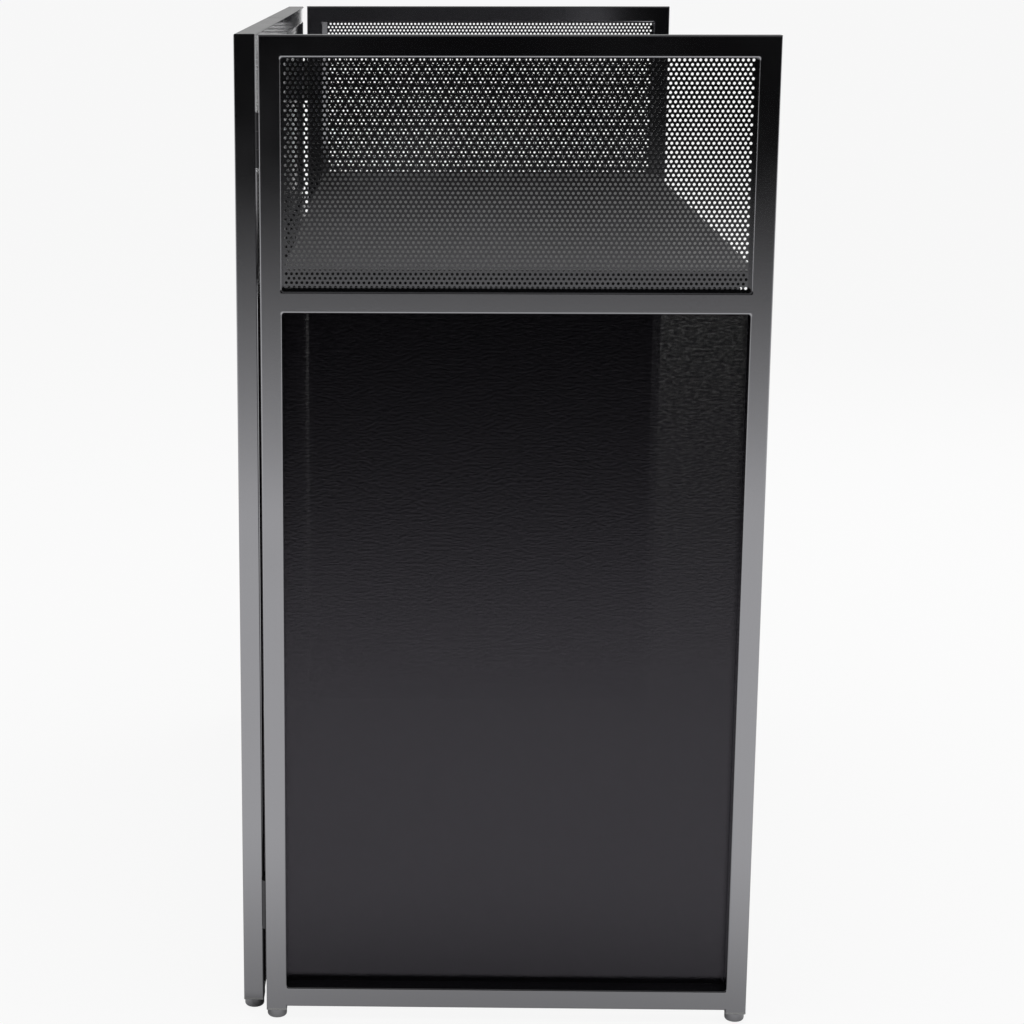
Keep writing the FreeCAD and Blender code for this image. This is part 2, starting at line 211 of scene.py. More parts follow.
# The cured powder: a fine orange peel, and broad soft patches where it lies a little thicker
powder, ends_in, ends_out = new_group(
    "powder_skin",
    {"Vector": "Vector", "Peel Scale": "Float", "Patch Scale": "Float"},
    {"Height": "Float", "Patches": "Float"},
)
taken = ends_in.outputs
peel = noise(powder, taken["Vector"], taken["Peel Scale"], 2.0)
patches = noise(powder, taken["Vector"], taken["Patch Scale"], 4.0)
powder.links.new(peel, ends_out.inputs["Height"])
powder.links.new(patches, ends_out.inputs["Patches"])


def powder_skin(tree, peel_scale, patch_scale):
    """The powder's outputs in a material, at the material's own scales."""
    where = shader(tree, "ShaderNodeTexCoord").outputs["Object"]
    inputs = {"Vector": where, "Peel Scale": peel_scale, "Patch Scale": patch_scale}
    return shader(tree, "ShaderNodeGroup", inputs, node_tree=powder).outputs


def coated(name, colour, worn, rough, ior, peel_depth, rub=False, lacquer=1.0):
    """A coated metal: orange peel as bump, patches in colour and gloss, and paler rubbed corners."""
    constants = {
        "IOR": ior,
        "Specular Tint": COAT_TINT,
        "Coat Weight": lacquer,
        "Coat IOR": CLEAR_IOR,
        "Coat Roughness": rough,
    }
    finish, tree = new_finish(name, constants)
    skin = powder_skin(tree, PEEL_SCALE, PATCH_SCALE)
    amount = spread(tree, skin["Patches"], PATCH_SPAN, (0.0, PATCH_SHARE))
    if rub:
        mark = shader(tree, "ShaderNodeAttribute", attribute_name="rub").outputs["Fac"]
        amount = worked(tree, "ADD", amount, worked(tree, "MULTIPLY", mark, skin["Patches"]))
    tone = two_tone(tree, amount, colour, worn)
    gloss = spread(
        tree, skin["Patches"], NOISE_SPAN, (rough - COAT_GLOSSIER, rough + COAT_DULLER)
    )
    return dressed(finish, tone, gloss, bumped(tree, skin["Height"], peel_depth, BUMP_STRENGTH))


def rounded_rectangle(half_a, half_b, radius, steps):
    """Points a + bi round a rectangle: a quarter circle of the radius at each corner, joined by the
    sides. A point just past either end of each quarter keeps the shading of the sides flat."""
    turn = np.linspace(0, math.pi / 2, steps)
    corner = radius * np.exp(1j * turn)
    corner = np.concatenate([corner[:1] - 1j * FLAT_FROM, corner, corner[-1:] - FLAT_FROM])
    arcs = [
        sa * (half_a - radius) + 1j * sb * (half_b - radius) + corner * 1j**quarter
        for quarter, (sa, sb) in enumerate(((1, 1), (-1, 1), (-1, -1), (1, -1)))
    ]
    return np.concatenate(arcs)


def square_tube(node, opening, mitre_low, mitre_high, body):
    """A hollow tube in its node's box: a rounded square ring carried from the low end to the high
    end. A mitred end is pulled back by p + half, where p is a point's distance from the middle
    towards the opening."""
    low, high = (np.array(corner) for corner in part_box(node))
    axis = int(np.argmax(high - low))
    along, length = np.eye(3)[axis], (high - low)[axis]
    across = np.cross(along, opening)
    half = np.delete(high - low, axis).min() / 2
    start = (low + high) / 2 - along * length / 2
    bore = half - TUBE_WALL
    outer = rounded_rectangle(half, half, TUBE_RADIUS, CORNER_STEPS)
    inner = rounded_rectangle(bore, bore, TUBE_RADIUS - TUBE_WALL, CORNER_STEPS)
    ring = []
    for section, at_high in ((outer, False), (outer, True), (inner, True), (inner, False)):
        pulled = section.real + half
        reach = length - mitre_high * pulled if at_high else mitre_low * pulled
        ring.append(
            start
            + reach[:, None] * along
            + section.real[:, None] * opening
            + section.imag[:, None] * across
        )
    points = np.concatenate(ring)
    faces = [grid_quads(4, len(outer), True, True)]
    tube = new_piece(
        f"{node}_tube", points, faces, body, "frame_steel", frame_coat, TUBE_SMOOTH
    )
    rub = np.tile(np.pad(np.sin(np.linspace(0, math.pi, CORNER_STEPS)), 1), 4)
    mark = tube.data.attributes.new("rub", "FLOAT", "POINT")
    rub = np.concatenate([rub, rub, rub * 0, rub * 0])
    mark.data.foreach_set("value", rub.astype(np.float32))
    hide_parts(node)


def panel_lines(panel):
    """A panel's corner on the floor, its direction along, its direction inwards, and its width."""
    low, high = (np.array(corner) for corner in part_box(f"{panel}_top_rail"))
    side = np.sign((low + high)[0])
    if panel.startswith("wing"):
        corner = np.array([side * np.abs([low[0], high[0]]).max(), low[1], 0])
        return corner, np.array([0.0, 1, 0]), np.array([-side, 0, 0]), high[1] - low[1]
    corner = np.array([side * np.abs([low[0], high[0]]).min(), low[1], 0])
    return corner, np.array([side, 0, 0]), np.array([0.0, 1, 0]), high[0] - low[0]


frame_coat = coated(
    "satin_powder_coat", COAT_COLOUR, COAT_WORN, COAT_ROUGH, COAT_IOR, PEEL_DEPTH, rub=True
)
for panel, (first, second) in PANELS.items():
    along = panel_lines(panel)[1]
    square_tube(f"{panel}_{first}_stile", along, False, True, panel)
    square_tube(f"{panel}_{second}_stile", -along, False, True, panel)
    square_tube(f"{panel}_top_rail", -UP, True, True, panel)
    square_tube(f"{panel}_mid_rail", -UP, False, False, panel)
    square_tube(f"{panel}_bottom_rail", UP, False, False, panel)


# Welds: a small hollow fillet runs through each inner corner of the two openings of a panel, where a
# rail meets a stile. It is laid in short overlapping pools, dressed smooth and coated with the frame.
# Where the lower rails butt on the stiles, the seams on the faces are filled and ground flush.
TUBE = 0.025
BEAD_LEG = 0.0032
BEAD_STEPS = 8
BEAD_STATIONS = 41
POOL_PITCH = 0.0022
POOL_SWELL = 0.04
BEAD_SMOOTH = 50


def joined(shapes):
    """One set of points and faces from several closed parts, each turned outwards."""
    shapes = [facing_out(*shape) for shape in shapes]
    starts = np.cumsum([0] + [len(points) for points, faces in shapes])
    faces = [group + start for (points, groups), start in zip(shapes, starts) for group in groups]
    return np.concatenate([points for points, groups in shapes]), faces


def carried(section, stations, across, rise):
    """A closed section a + bi carried along stations: point = station + a * across + b * rise, with
    both ends capped."""
    section = np.broadcast_to(section, (len(stations), np.shape(section)[-1]))
    points = (
        stations[:, None, :]
        + section.real[..., None] * np.asarray(across, float)
        + section.imag[..., None] * np.asarray(rise, float)
    )
    rows, cols = section.shape
    cap = np.arange(cols)[None, :]
    faces = [grid_quads(rows, cols, wrap_cols=True), cap, cap[:, ::-1] + (rows - 1) * cols]
    return points.reshape(-1, 3), faces


def weld_bead(corner, towards, rise, inwards):
    """A hollow fillet in a corner: two legs and a quarter circle, swelling along its length as
    1 + swell cos(2 pi (s - tube / 2) / pitch). At both faces it falls back with the tubes' rounded
    edges, by r (1 - sin t) at the depth r (1 - cos t)."""
    turn = np.linspace(0, math.pi / 2, BEAD_STEPS)
    end, fall = TUBE_RADIUS * (1 - np.cos(turn)), TUBE_RADIUS * (1 - np.sin(turn))
    through = np.linspace(TUBE_RADIUS, TUBE - TUBE_RADIUS, BEAD_STATIONS)[1:-1]
    swell = 1 + POOL_SWELL * np.cos(2 * math.pi * (through - TUBE / 2) / POOL_PITCH)
    s = np.concatenate([end, through, TUBE - end[::-1]])
    back = np.concatenate([fall, np.zeros(len(through)), fall[::-1]])
    size = np.concatenate([np.ones(len(end)), swell, np.ones(len(end))])
    hollow = BEAD_LEG * (1 + 1j - np.sin(turn[::-1]) * 1j - np.cos(turn[::-1]))
    section = size[:, None] * np.concatenate([[0j], hollow]) - back[:, None] * (1 + 1j)
    return carried(section, corner + s[:, None] * inwards, towards, rise)


def flush_weld(start, height, towards, depth):
    """The ground seam where a rail butts on a stile: it fills the corner between the stile's rounded
    edge and the rail's end, a square of the tube's radius less a quarter circle, carried up the
    rail's flat face."""
    turn = np.linspace(0, math.pi / 2, CORNER_STEPS)
    quarter = TUBE_RADIUS * (np.sin(turn) - 1 + 1j * (1 - np.cos(turn)))
    stations = start + np.outer([TUBE_RADIUS, height - TUBE_RADIUS], UP)
    return carried(np.concatenate([[0j], quarter]), stations, towards, depth)


for panel in PANELS:
    corner, along, inwards, width = panel_lines(panel)
    levels = {rail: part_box(f"{panel}_{rail}_rail") for rail in ("top", "mid", "bottom")}
    inner_corners = (
        (levels["bottom"][1].z, UP),
        (levels["mid"][0].z, -UP),
        (levels["mid"][1].z, UP),
        (levels["top"][0].z, -UP),
    )
    beads = [
        weld_bead(corner + along * u + UP * z, towards, rise, inwards)
        for z, rise in inner_corners
        for u, towards in ((TUBE, along), (width - TUBE, -along))
    ]
    seams = [
        flush_weld(corner + along * u + inwards * w + UP * levels[rail][0].z, TUBE, towards, depth)
        for rail in ("mid", "bottom")
        for u, towards in ((TUBE, along), (width - TUBE, -along))
        for w, depth in ((0.0, inwards), (TUBE, -inwards))
    ]
    new_piece(f"{panel}_welds", *joined(beads + seams), panel, "frame_steel", frame_coat, BEAD_SMOOTH)


# Leg plugs: a moulded plastic plug is driven into the foot of each stile. Its collar closes the tube
# end and shows as a paler line, and the foot's stem screws through it.
FLOW_SCALE = 60.0
GRAIN_DEPTH = 0.0001
GRAIN_GLOSS = 0.05


def moulded(name, colour, paler, rough, ior, grain_scale):
    """Moulded plastic: a fine spark-eroded grain as bump and in gloss, and faint flow marks in
    colour."""
    finish, tree = new_finish(name, {"IOR": ior})
    skin = powder_skin(tree, grain_scale, FLOW_SCALE)
    tone = two_tone(tree, skin["Patches"], colour, paler)
    gloss = spread(tree, skin["Height"], NOISE_SPAN, (rough - GRAIN_GLOSS, rough + GRAIN_GLOSS))
    return dressed(finish, tone, gloss, bumped(tree, skin["Height"], GRAIN_DEPTH, BUMP_STRENGTH))


def finish_node(node, finish):
    """Give a CAD node that stays in view its finish."""
    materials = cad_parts[node].data.materials
    materials.clear()
    materials.append(finish)


plug_plastic = moulded(
    "plug_plastic",
    colour=(0.06, 0.06, 0.062, 1),
    paler=(0.09, 0.09, 0.092, 1),
    rough=0.25,
    ior=3.6,
    grain_scale=1800.0,
)
for panel in PANELS:
    finish_node(f"{panel}_leg_plugs", plug_plastic)


# Levelling feet: turned steel glides with a rounded lower edge and a glossy black coat. A coarse
# threaded stem runs up through the plug, so a foot screws out to stand level.
FOOT_ROUNDING = 0.0036
FOOT_TOP_BEVEL = 0.0005
FOOT_RING = 0.004
FOOT_COLUMNS = 40
FOOT_STEPS = 9
FOOT_SMOOTH = 40
THREAD_PITCH = 0.0015
THREAD_DEPTH = 0.0006
THREAD_ROWS = 4
THREAD_RUNOUT = 0.0002
STEM_CREST = 0.00495
OFF_AXIS = (0.3, 0.5, 0.8)


def turned(radii, heights, centre, axis):
    """A turned form: point = centre + h axis + r (cos t e1 + sin t e2), with r and h given by row and
    angle, and flat caps at both ends."""
    axis = np.asarray(axis, float)
    first = np.cross(axis, OFF_AXIS)
    first /= np.linalg.norm(first)
    second = np.cross(axis, first)
    rows, cols = radii.shape
    t = np.linspace(0, 2 * math.pi, cols, endpoint=False)
    spokes = np.cos(t)[:, None] * first + np.sin(t)[:, None] * second
    points = np.asarray(centre, float) + heights[..., None] * axis + radii[..., None] * spokes
    cap = np.arange(cols)[None, :]
    faces = [grid_quads(rows, cols, wrap_cols=True), cap, cap[:, ::-1] + (rows - 1) * cols]
    return points.reshape(-1, 3), faces


def levelling_foot(node):
    """Pad and stem as one turned form. The pad's lower edge is a quarter circle, and the stem's
    radius is crest - depth * |2 frac(z / pitch - t / 2 pi) - 1|, a helix."""
    low, high = (np.array(corner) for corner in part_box(node))
    rim = (high - low)[0] / 2
    pad_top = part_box("wing_left_leg_plugs")[0].z
    turn = np.linspace(0, math.pi / 2, FOOT_STEPS)
    pad_r = [
        rim - FOOT_ROUNDING - FOOT_RING,
        *(rim - FOOT_ROUNDING + FOOT_ROUNDING * np.sin(turn)),
        rim,
        rim - FOOT_TOP_BEVEL,
        STEM_CREST,
    ]
    pad_z = [
        0.0,
        *(FOOT_ROUNDING - FOOT_ROUNDING * np.cos(turn)),
        pad_top - FOOT_TOP_BEVEL,
        pad_top,
        pad_top,
    ]
    stem_z = np.arange(
        pad_top + THREAD_RUNOUT, high[2] - THREAD_RUNOUT, THREAD_PITCH / THREAD_ROWS
    )
    t = np.linspace(0, 1, FOOT_COLUMNS, endpoint=False)
    wave = np.abs(2 * np.mod(stem_z[:, None] / THREAD_PITCH - t, 1) - 1)
    pad = np.repeat(np.array(pad_r)[:, None], FOOT_COLUMNS, 1)
    radii = np.concatenate([pad, STEM_CREST - THREAD_DEPTH * wave])
    heights = np.concatenate([pad_z, stem_z])[:, None] * np.ones(FOOT_COLUMNS)
    centre = [(low[0] + high[0]) / 2, (low[1] + high[1]) / 2, low[2]]
    shape = turned(radii, heights, centre, UP)
    foot = new_piece(f"{node}_turned", *shape, node, "foot_steel", foot_coat, FOOT_SMOOTH)
    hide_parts(node)


foot_coat = coated(
    "glossy_foot_coat",
    colour=(0.006, 0.006, 0.0065, 1),
    worn=(0.02, 0.02, 0.021, 1),
    rough=0.12,
    ior=3.2,
    peel_depth=0.0001,
)
for panel, pair in PANELS.items():
    for end in pair:
        levelling_foot(f"{panel}_{end}_foot")


# Perforated sheets: 1.5 mm steel punched with 3.6 mm round holes at 6 mm pitch in staggered rows, set
# into the upper opening of each panel and coated with it. One wing's sheet has a plain strip at the
# front, and a small sloping strip of the same steel is fixed along it on the inside.
HOLE_RADIUS = 0.0018
HOLE_PITCH = 0.006
ROW_PITCH = HOLE_PITCH * math.sqrt(3) / 2
HOLE_SIDES = 8
EDGE_OF_FIELD = 0.0025
PLAIN_STRIP = {"wing_left": HOLE_PITCH}
EDGE_STRIP = (0.008, 0.0067)
TOLERANCE = 1e-6


def web_faces(rings_right, rings_left):
    """Faces of the web between staggered rows of holes, where the rows stand half a pitch to the
    right and to the left by turns: between two neighbours a four-sided bridge, and in each triangle
    of three neighbours a five-sided middle, all on the holes' own corners."""

    def take(*corners):
        return np.stack([ring[..., k] for ring, k in corners], -1).reshape(-1, len(corners))

    low, high = rings_right[:-1], rings_left
    faces = [take((low, 2), (high, 7), (high, 6), (low, 3))]
    here, beside, left, right = low[:, :-1], low[:, 1:], high[:, :-1], high[:, 1:]
    faces.append(take((here, 1), (right, 6), (right, 5), (here, 2)))
    faces.append(take((left, 7), (here, 2), (right, 5), (right, 4), (left, 0)))
    faces.append(take((here, 0), (beside, 4), (beside, 3), (right, 6), (here, 1)))
    low, high = rings_left, rings_right[1:]
    faces.append(take((low, 1), (high, 6), (high, 5), (low, 2)))
    here, beside, left, right = high[:, :-1], high[:, 1:], low[:, :-1], low[:, 1:]
    faces.append(take((right, 2), (here, 7), (here, 6), (right, 3)))
    faces.append(take((left, 0), (right, 4), (right, 3), (here, 6), (left, 1)))
    faces.append(take((here, 7), (right, 2), (beside, 5), (beside, 4), (here, 0)))
    return faces


def field_edge(rings_right, rings_left):
    """The corners round the outside of the field of holes, in four runs: bottom, right, top, left."""

    def upright_run(rows, rows_between, order, order_between):
        body = np.concatenate([rows[:-1][:, order], rows_between[:, order_between]], 1).ravel()
        trim = len(order) // 2 + 1
        return np.append(body, rows[-1][order])[trim:-trim]

    bottom = rings_right[0][:, [4, 5, 6, 7, 0]].ravel()
    right = upright_run(rings_right[:, -1], rings_left[:, -1], [6, 7, 0, 1, 2], [7, 0, 1])
    top = rings_right[-1][::-1][:, [0, 1, 2, 3, 4]].ravel()
    left = upright_run(rings_right[:, 0], rings_left[:, 0], [5, 4, 3], [6, 5, 4, 3, 2])[::-1]
    return bottom, right, top, left


def perforated_sheet(panel):
    """A punched sheet: hole corners are centre + radius (cos k pi/4, sin k pi/4), webs lie between
    them, and the field's edge is carried straight out to the sheet's four sides."""
    corner, along, inwards = panel_lines(panel)[:3]
    low, high = (np.array(c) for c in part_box(f"{panel}_perforated_sheet"))
    u0, u1 = sorted(((low - corner) @ along, (high - corner) @ along))
    w0, w1 = sorted(((low - corner) @ inwards, (high - corner) @ inwards))
    z0, z1 = low[2], high[2]
    plain = PLAIN_STRIP.get(panel, 0.0)
    columns = int((u1 - u0 - plain - 2 * EDGE_OF_FIELD) / HOLE_PITCH + TOLERANCE - 0.5) + 1
    pairs = int((z1 - z0 - 2 * EDGE_OF_FIELD) / ROW_PITCH / 2 + TOLERANCE)
    first_u = (u0 + plain + u1 - (columns - 0.5) * HOLE_PITCH) / 2
    first_z = (z0 + z1 - 2 * pairs * ROW_PITCH) / 2
    turn = np.arange(HOLE_SIDES) * 2 * math.pi / HOLE_SIDES
    ring = HOLE_RADIUS * np.stack([np.cos(turn), np.sin(turn)], -1)

    def holes(rows, u, z):
        us = u + HOLE_PITCH * np.arange(columns)
        zs = z + 2 * ROW_PITCH * np.arange(rows)
        centres = np.stack(np.broadcast_arrays(us[None, :], zs[:, None]), -1)
        return (centres[:, :, None, :] + ring).reshape(-1, 2)

    # Flat points: every hole's corners first, then the sheet's outline
    flat = np.concatenate(
        [
            holes(pairs + 1, first_u + HOLE_PITCH / 2, first_z),
            holes(pairs, first_u, first_z + ROW_PITCH),
        ]
    )
    rings = np.arange(len(flat)).reshape(-1, columns, HOLE_SIDES)
    rings_right, rings_left = rings[: pairs + 1], rings[pairs + 1 :]
    bottom, right, top, left = field_edge(rings_right, rings_left)
    inner = np.concatenate(
        [bottom, bottom[[-1, -1]], right, top[[0, 0]], top, top[[-1, -1]], left, bottom[[0, 0]]]
    )
    edge = flat[inner]
    runs = np.cumsum([len(bottom), 2 + len(right) + 2, len(top), 2 + len(left) + 2])
    edge[: runs[0] + 1, 1] = z0
    edge[runs[0] : runs[1], 0] = u1
    edge[runs[1] - 1 : runs[2] + 1, 1] = z1
    edge[runs[2] : runs[3], 0] = u0
    edge[-1, 1] = z0
    outer = len(flat) + np.arange(len(edge))
    flat = np.concatenate([flat, edge])

    # Faces: the web and the margin on both sides, the walls of the holes and the sheet's rim
    ahead, outer_ahead = np.roll(inner, -1), np.roll(outer, -1)
    straight = inner != ahead
    front = web_faces(rings_right, rings_left)
    front.append(np.stack([inner, outer, outer_ahead, ahead], -1)[straight])
    front.append(np.stack([inner, outer, outer_ahead], -1)[~straight])
    count = len(flat)
    rings_ahead = np.roll(rings, -1, axis=-1)
    walls = np.stack([rings, rings + count, rings_ahead + count, rings_ahead], -1).reshape(-1, 4)
    rim = np.stack([outer, outer_ahead, outer_ahead + count, outer + count], -1)
    faces = [f[:, ::-1] for f in front] + [f + count for f in front] + [walls, rim]
    in_panel = np.concatenate([np.insert(flat, 1, w, axis=1) for w in (w0, w1)])
    points = corner + in_panel[:, :1] * along + in_panel[:, 1:2] * inwards + in_panel[:, 2:] * UP
    sheet = new_piece(
        f"{panel}_punched_sheet", points, faces, panel, "perforated_steel", sheet_coat
    )
    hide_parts(f"{panel}_perforated_sheet")
    if plain:
        leg_u, leg_w = EDGE_STRIP
        run = corner + along * u0 + inwards * w1 + np.outer([z0, z1], UP)
        strip = carried(np.array([0, leg_u, 1j * leg_w]), run, along, inwards)
        new_piece(f"{panel}_edge_strip", *strip, panel, "perforated_steel", sheet_coat)


sheet_coat = coated(
    "sheet_powder_coat", COAT_COLOUR, COAT_WORN, COAT_ROUGH, COAT_IOR, PEEL_DEPTH
)
for panel in PANELS:
    perforated_sheet(panel)


# Hook-and-loop tape: four 10 mm strips of woven black tape stuck to the inner faces of a panel's
# lower frame. They hold the scrim, and their edges show only from behind.
TAPE_WIDTH = 0.010
TAPE_THICKNESS = 0.0012
TAPE_ROUNDING = 0.0004
TAPE_STEPS = 4
CLOTH_SMOOTH = 40
CLOTH_TINT = (0.93, 0.88, 1.0, 1)
WEAVE_DEPTH = 0.0001
WEAVE_STRENGTH = 0.1
GAP_POWER = 3.0
SLUB_SCALE = (150.0, 330.0, 1.0)
SLUB_GLOSS = 0.012
SLUB_SHARE = 1.8
SLUB_GAPS = 0.28
NAP_FILTER = 0.02

# The weave: crowns where the threads cross, gaps between them, and the lie of each course
weave, ends_in, ends_out = new_group(
    "plain_weave",
    {"Vector": "Vector", "Threads": "Float"},
    {"Height": "Float", "Gap": "Float", "Nap": "Float"},
)
thread_count = shader(
    weave,
    "ShaderNodeVectorMath",
    {0: ends_in.outputs["Vector"], "Scale": ends_in.outputs["Threads"]},
    operation="SCALE",
)
counted = shader(weave, "ShaderNodeSeparateXYZ", {0: thread_count.outputs[0]}).outputs


def thread_wave(socket):
    """cos(2 pi x), one wave for each thread."""
    return worked(weave, "COSINE", worked(weave, "MULTIPLY", socket, 2 * math.pi))


def gap_wave(socket):
    """((1 + cos) / 2) cubed, near 1 only between two threads."""
    return worked(weave, "POWER", worked(weave, "MULTIPLY_ADD", socket, 0.5, 0.5), GAP_POWER)


warp, weft = thread_wave(counted[0]), thread_wave(counted[1])
crown = worked(weave, "MULTIPLY_ADD", worked(weave, "MULTIPLY", warp, weft), 0.5, 0.5)
open_mesh = worked(weave, "MULTIPLY", gap_wave(warp), gap_wave(weft))
lie = worked(weave, "SUBTRACT", 1.0, worked(weave, "FRACT", counted[1]))
for socket, source in (("Height", crown), ("Gap", open_mesh), ("Nap", lie)):
    weave.links.new(source, ends_out.inputs[socket])


def woven(name, colour, paler, threads, rough, ior, sheer=0.0, nap=0.0):
    """Cloth on its own UV map in metres: a plain weave as bump, slubs in colour and relief, gaps
    between the threads that let a little light through, fewer at a slub, and a nap, where each
    course stands out at its lower edge."""
    finish, tree = new_finish(name, {"IOR": ior, "Specular Tint": CLOTH_TINT})
    flat = shader(tree, "ShaderNodeUVMap", uv_map="cloth").outputs[0]
    threaded = shader(
        tree, "ShaderNodeGroup", {"Vector": flat, "Threads": threads}, node_tree=weave
    ).outputs
    stretched = shader(tree, "ShaderNodeMapping", {"Vector": flat, "Scale": SLUB_SCALE}).outputs[0]
    slubs = noise(tree, stretched, 1.0, 1.0)
    tone = two_tone(tree, spread(tree, slubs, NOISE_SPAN, (0.0, 1.0)), colour, paler)
    gloss = spread(tree, slubs, NOISE_SPAN, (rough - SLUB_GLOSS, rough + SLUB_GLOSS))
    relief = bumped(tree, threaded["Height"], WEAVE_DEPTH, WEAVE_STRENGTH)
    if nap:
        standing = worked(tree, "MULTIPLY_ADD", slubs, SLUB_SHARE, threaded["Nap"])
        inputs = {"Distance": nap, "Filter Width": NAP_FILTER, "Height": standing, "Normal": relief}
        relief = shader(tree, "ShaderNodeBump", inputs).outputs[0]
    if sheer:
        pulled = spread(tree, slubs, NOISE_SPAN, (-sheer - SLUB_GAPS, SLUB_GAPS - sheer))
        cover = worked(tree, "MULTIPLY_ADD", threaded["Gap"], pulled, 1.0)
        tree.links.new(cover, tree.nodes["Principled BSDF"].inputs["Alpha"])
    return dressed(finish, tone, gloss, relief)


def cloth_map(piece, corner, along):
    """The piece's UV map in metres: distance along the panel, and height."""
    points = np.empty(len(piece.data.vertices) * 3, np.float32)
    piece.data.vertices.foreach_get("co", points)
    points = points.reshape(-1, 3)
    which = np.empty(len(piece.data.loops), np.int32)
    piece.data.loops.foreach_get("vertex_index", which)
    flat = np.stack([(points - corner) @ along, points[:, 2]], -1)[which]
    piece.data.uv_layers.new(name="cloth").data.foreach_set("uv", flat.astype(np.float32).ravel())


tape_cloth = woven(
    "hook_and_loop_tape",
    colour=(0.01, 0.01, 0.01, 1),
    paler=(0.02, 0.02, 0.021, 1),
    threads=900.0,
    rough=0.8,
    ior=1.45,
)
for panel in PANELS:
    corner, along, inwards = panel_lines(panel)[:3]
    low, high = (np.array(c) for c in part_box(f"{panel}_hook_strips"))
    u0, u1 = sorted(((low - corner) @ along, (high - corner) @ along))
    w_mid = TUBE + TAPE_THICKNESS / 2
    half = TAPE_WIDTH / 2
    section = rounded_rectangle(half, TAPE_THICKNESS / 2, TAPE_ROUNDING, TAPE_STEPS)
    tapes = []
    for u in (u0 + half, u1 - half):
        run = corner + along * u + inwards * w_mid + np.outer([low[2], high[2]], UP)
        tapes.append(carried(section, run, along, inwards))
    for z in (low[2] + half, high[2] - half):
        run = corner + inwards * w_mid + UP * z + np.outer([u0 + TAPE_WIDTH, u1 - TAPE_WIDTH], along)
        tapes.append(carried(section, run, UP, inwards))
    tape = new_piece(
        f"{panel}_tapes", *joined(tapes), panel, "strip_nylon", tape_cloth, CLOTH_SMOOTH
    )
    cloth_map(tape, corner, along)
    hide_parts(f"{panel}_hook_strips")


# Scrims: a black stretch cloth drawn tight over the lower opening from behind, with a doubled hem
# that is pressed on to the tape. It is thin enough to let a little light through.
CLOTH_THICKNESS = 0.00035
CLOTH_STEP = 0.006
HEM_THICKNESS = 0.00075
HEM_WIDTH = 0.012
HEM_BLEND = 0.002
SCRIM_SLACK = 0.0006
scrim_cloth = woven(
    "stretch_scrim",
    colour=(0.0018, 0.0016, 0.0023, 1),
    paler=(0.0085, 0.0079, 0.0097, 1),
    threads=1400.0,
    rough=0.14,
    ior=1.555,
    sheer=0.57,
    nap=0.000047,
)


def scrim(panel):
    """A cloth with two faces on a u by z grid. Its outer face bows inwards by
    slack (1 - a^2)(1 - b^2), where a and b run from -1 to 1, and its thickness steps up smoothly to
    the hem's near the edges."""
    corner, along, inwards = panel_lines(panel)[:3]
    low, high = (np.array(c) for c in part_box(f"{panel}_scrim"))
    u0, u1 = sorted(((low - corner) @ along, (high - corner) @ along))
    w0 = min((low - corner) @ inwards, (high - corner) @ inwards)
    us = np.linspace(u0, u1, int((u1 - u0) / CLOTH_STEP) + 1)
    zs = np.linspace(low[2], high[2], int((high - low)[2] / CLOTH_STEP) + 1)
    u, z = np.meshgrid(us, zs)
    a = (2 * u - u0 - u1) / (u1 - u0)
    b = (2 * z - low[2] - high[2]) / (high - low)[2]
    bow = SCRIM_SLACK * (1 - a**2) * (1 - b**2)
    from_edge = np.minimum.reduce([u - u0, u1 - u, z - low[2], high[2] - z])
    blend = np.clip((from_edge - HEM_WIDTH) / HEM_BLEND, 0, 1)
    thick = HEM_THICKNESS + (CLOTH_THICKNESS - HEM_THICKNESS) * blend**2 * (3 - 2 * blend)
    rows, cols = u.shape
    depths = np.concatenate([(w0 + bow).ravel(), (w0 + bow + thick).ravel()])
    flat_u, flat_z = np.tile(u.ravel(), 2), np.tile(z.ravel(), 2)
    points = corner + flat_u[:, None] * along + depths[:, None] * inwards + flat_z[:, None] * UP
    number = np.arange(rows * cols).reshape(rows, cols)
    loop = np.concatenate([number[0, :-1], number[:-1, -1], number[-1, :0:-1], number[:0:-1, 0]])
    ahead, count = np.roll(loop, -1), rows * cols
    quads = grid_quads(rows, cols)
    hem = np.stack([loop, loop + count, ahead + count, ahead], -1)
    faces = [quads[:, ::-1], quads + count, hem]
    cloth = new_piece(
        f"{panel}_scrim_cloth", points, faces, panel, "scrim_cloth", scrim_cloth, CLOTH_SMOOTH
    )
    cloth_map(cloth, corner, along)
    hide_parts(f"{panel}_scrim")


for panel in PANELS:
    scrim(panel)


# Hinges: pressed black steel butt hinges, two at each seam, with bright drawn pins through their
# knuckles. Each leaf is held by three low dome rivets.
HINGE_HALF = 0.0315
LEAF_MIDDLE = 0.009
LEAF_THICKNESS = 0.0018
PIN_TO_FACE = 0.0025
RIVET_RADIUS = 0.0024
RIVET_RISE = 0.00045
RIVET_SPACING = 0.021
DOME_TURN = math.radians(82)
DOME_STEPS = 6
DOME_COLUMNS = 20
DOME_RIM = 0.3
DOME_SMOOTH = 50
DRAWN_SCALE = (4000.0, 4000.0, 60.0)
DRAWN_GLOSS = (0.22, 0.4)
DRAWN_DEPTH = 0.00005
DRAWN_STRENGTH = 0.2
LEAVES = {
    "left_corner_hinge_front_leaves": ("front_left", (1, 0, 0), (0, 1, 0)),
    "left_corner_hinge_wing_leaves": ("wing_left", (0, 1, 0), (1, 0, 0)),
    "right_corner_hinge_front_leaves": ("front_right", (-1, 0, 0), (0, 1, 0)),
    "right_corner_hinge_wing_leaves": ("wing_right", (0, 1, 0), (-1, 0, 0)),
    "centre_hinge_left_leaves": ("front_left", (-1, 0, 0), (0, -1, 0)),
    "centre_hinge_right_leaves": ("front_right", (1, 0, 0), (0, -1, 0)),
}


